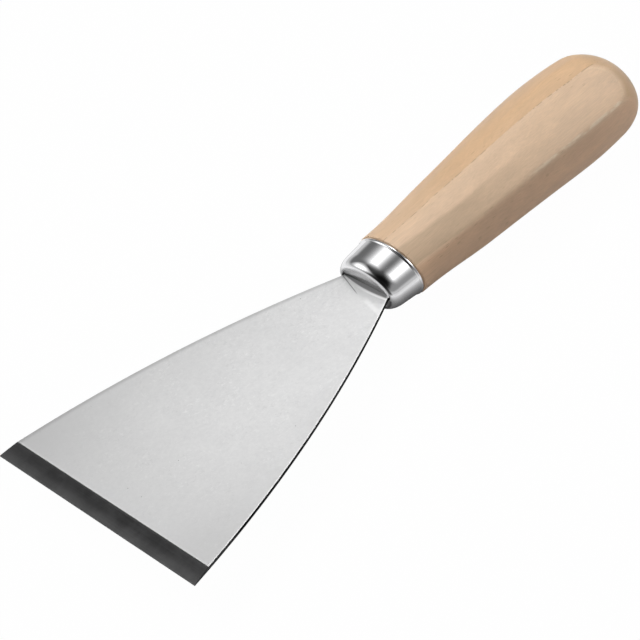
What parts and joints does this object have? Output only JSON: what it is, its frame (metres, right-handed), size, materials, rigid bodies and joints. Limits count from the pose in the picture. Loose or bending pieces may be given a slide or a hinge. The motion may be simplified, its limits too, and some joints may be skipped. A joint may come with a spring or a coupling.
{
  "type": "putty knife",
  "caption": "Broad putty knife: a flaring bevelled steel blade held by its tang in an eight-faced pear-shaped wooden grip, with a drawn chrome ferrule over the joint.",
  "frame": {"origin": "middle of the tool's overall box, on its long axis and in the middle plane of the blade", "axes": "+X along the tool to the working edge, +Y to the tool's left seen from above, +Z out of the bevelled face of the blade"},
  "size_m": [0.201, 0.08, 0.0282],
  "materials": {
    "steel": "satin",
    "chrome": "polished",
    "wood": "bare smooth-sanded hardwood"
  },
  "bodies": {
    "root": {"blade": "steel", "ferrule": "chrome", "handle": "wood"}
  },
  "joints": []
}
